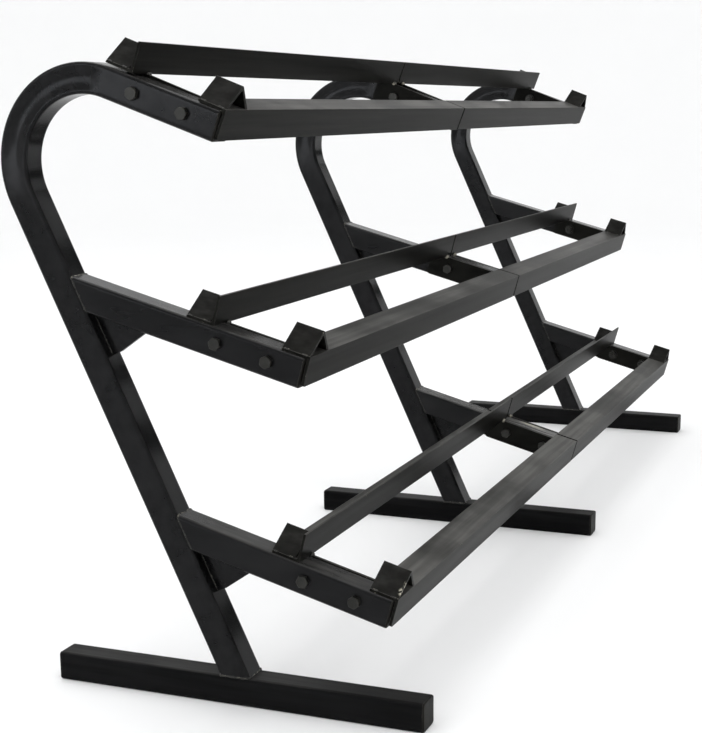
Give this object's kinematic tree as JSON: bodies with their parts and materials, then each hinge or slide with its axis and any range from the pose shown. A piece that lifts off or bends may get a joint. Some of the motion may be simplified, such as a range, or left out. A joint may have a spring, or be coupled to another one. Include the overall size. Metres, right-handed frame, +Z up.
{
  "type": "dumbbell rack",
  "caption": "Free-standing steel dumbbell rack with sloped angle-iron shelves bolted to bent square-tube uprights on long feet.",
  "frame": {"origin": "on the floor, in the middle of the rack's length and of its depth", "axes": "+X along the rack, -Y towards the person who takes a dumbbell, +Z up"},
  "size_m": [2.464, 0.7456, 1.0986],
  "materials": {
    "frame_paint": "satin black powder coat",
    "shelf_paint": "satin black powder coat, scuffed",
    "fastener_steel": "black oxide",
    "cap_plastic": "matte black"
  },
  "bodies": {
    "root": {"arm_caps": "cap_plastic", "arm_low_center": "frame_paint", "arm_low_left": "frame_paint", "arm_low_right": "frame_paint", "arm_mid_center": "frame_paint", "arm_mid_left": "frame_paint", "arm_mid_right": "frame_paint", "end_plate_low_left_inner": "shelf_paint", "end_plate_low_left_outer": "shelf_paint", "end_plate_low_right_inner": "shelf_paint", "end_plate_low_right_outer": "shelf_paint", "end_plate_mid_left_inner": "shelf_paint", "end_plate_mid_left_outer": "shelf_paint", "end_plate_mid_right_inner": "shelf_paint", "end_plate_mid_right_outer": "shelf_paint", "end_plate_top_left_inner": "shelf_paint", "end_plate_top_left_outer": "shelf_paint", "end_plate_top_right_inner": "shelf_paint", "end_plate_top_right_outer": "shelf_paint", "foot_caps": "cap_plastic", "foot_center": "frame_paint", "foot_left": "frame_paint", "foot_right": "frame_paint", "gusset_low_center": "frame_paint", "gusset_low_left": "frame_paint", "gusset_low_right": "frame_paint", "gusset_mid_center": "frame_paint", "gusset_mid_left": "frame_paint", "gusset_mid_right": "frame_paint", "rail_low_front_left": "shelf_paint", "rail_low_front_right": "shelf_paint", "rail_low_rear_left": "shelf_paint", "rail_low_rear_right": "shelf_paint", "rail_mid_front_left": "shelf_paint", "rail_mid_front_right": "shelf_paint", "rail_mid_rear_left": "shelf_paint", "rail_mid_rear_right": "shelf_paint", "rail_top_front_left": "shelf_paint", "rail_top_front_right": "shelf_paint", "rail_top_rear_left": "shelf_paint", "rail_top_rear_right": "shelf_paint", "shelf_bolts": "fastener_steel", "shelf_nuts": "fastener_steel", "shelf_washers": "fastener_steel", "stop_low_front_left": "shelf_paint", "stop_low_front_right": "shelf_paint", "stop_low_rear_left": "shelf_paint", "stop_low_rear_right": "shelf_paint", "stop_mid_front_left": "shelf_paint", "stop_mid_front_right": "shelf_paint", "stop_mid_rear_left": "shelf_paint", "stop_mid_rear_right": "shelf_paint", "stop_top_front_left": "shelf_paint", "stop_top_front_right": "shelf_paint", "stop_top_rear_left": "shelf_paint", "stop_top_rear_right": "shelf_paint", "upright_center": "frame_paint", "upright_left": "frame_paint", "upright_right": "frame_paint"}
  },
  "joints": []
}
